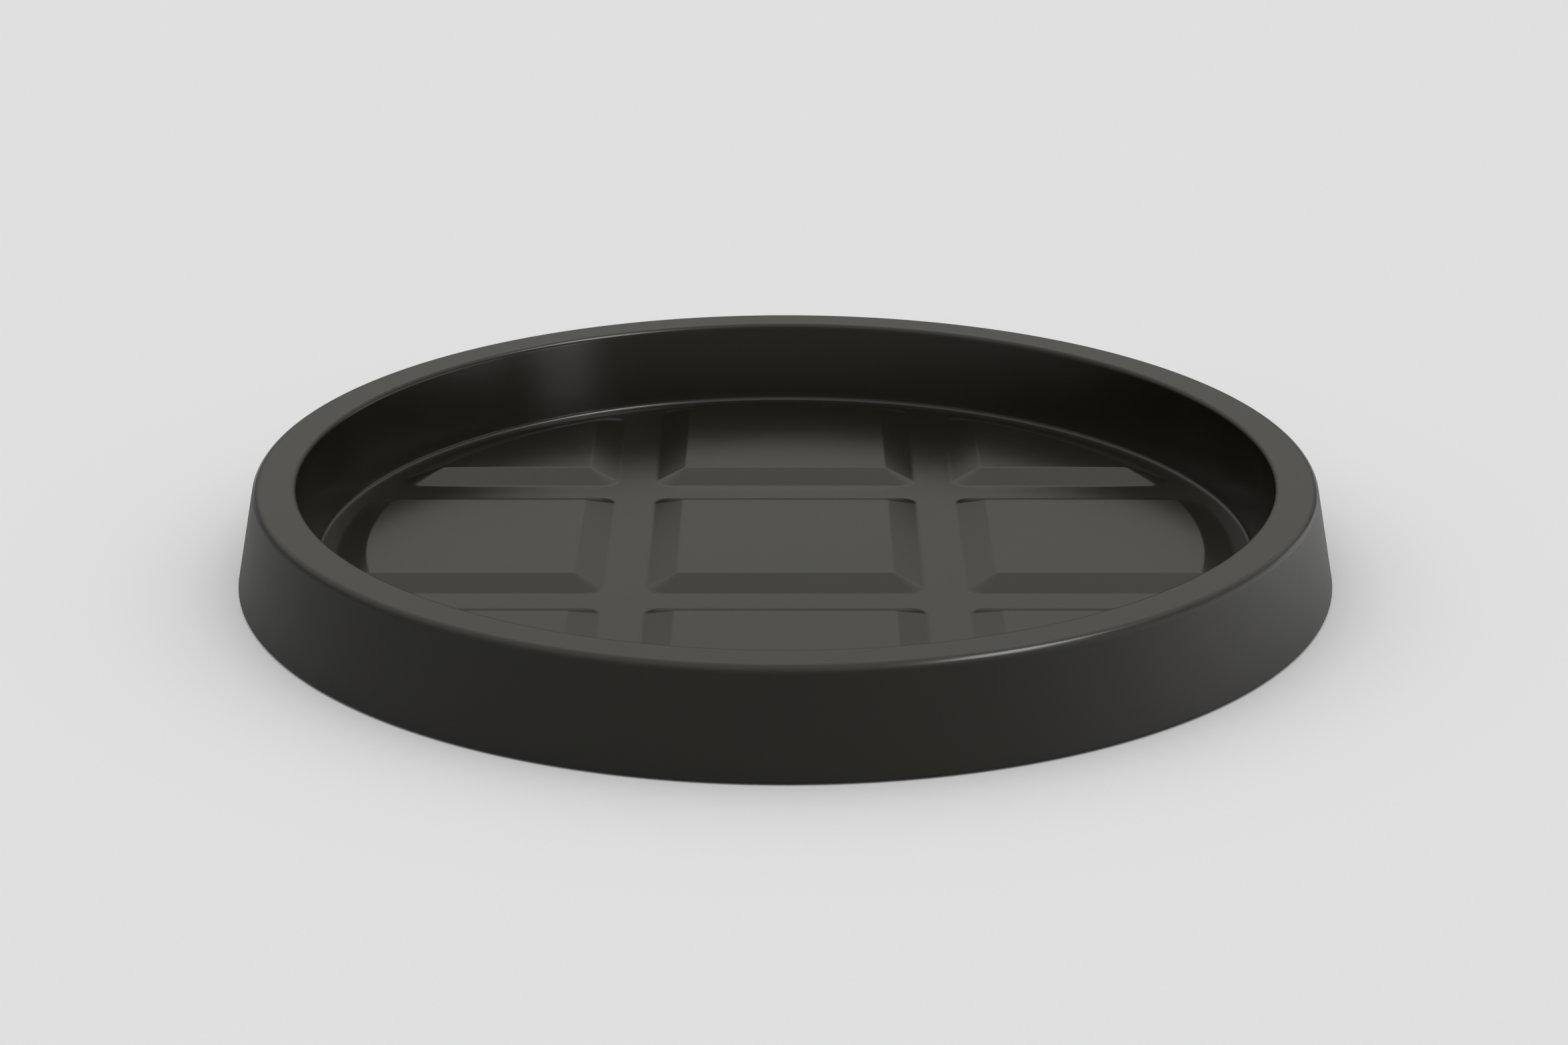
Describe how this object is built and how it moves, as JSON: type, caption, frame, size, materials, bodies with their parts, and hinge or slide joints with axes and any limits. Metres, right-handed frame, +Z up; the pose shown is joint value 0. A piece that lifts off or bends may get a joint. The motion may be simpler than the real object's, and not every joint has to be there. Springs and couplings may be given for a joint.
{
  "type": "plant saucer",
  "caption": "Round dark grey plastic plant saucer with a sloped skirt, flat rim and bevelled floor pads that hold a pot above its water, on push-in rubber feet.",
  "frame": {"origin": "on the ground, under the middle of the saucer", "axes": "+Z up, the rows of pot pads run along X and Y, and -Y is the side nearest the camera in the picture"},
  "size_m": [0.4, 0.4, 0.0377],
  "materials": {
    "dish_plastic": "moulded plastic, warm dark grey with a very fine grain, satin on the rim and inside, matt on the outside of the skirt",
    "foot_rubber": "matt black rubber"
  },
  "bodies": {
    "root": {"saucer_dish": "dish_plastic", "foot_centre": "foot_rubber", "foot_right": "foot_rubber", "foot_back": "foot_rubber", "foot_left": "foot_rubber", "foot_front": "foot_rubber", "foot_back_right": "foot_rubber", "foot_back_left": "foot_rubber", "foot_front_left": "foot_rubber", "foot_front_right": "foot_rubber"}
  },
  "joints": []
}
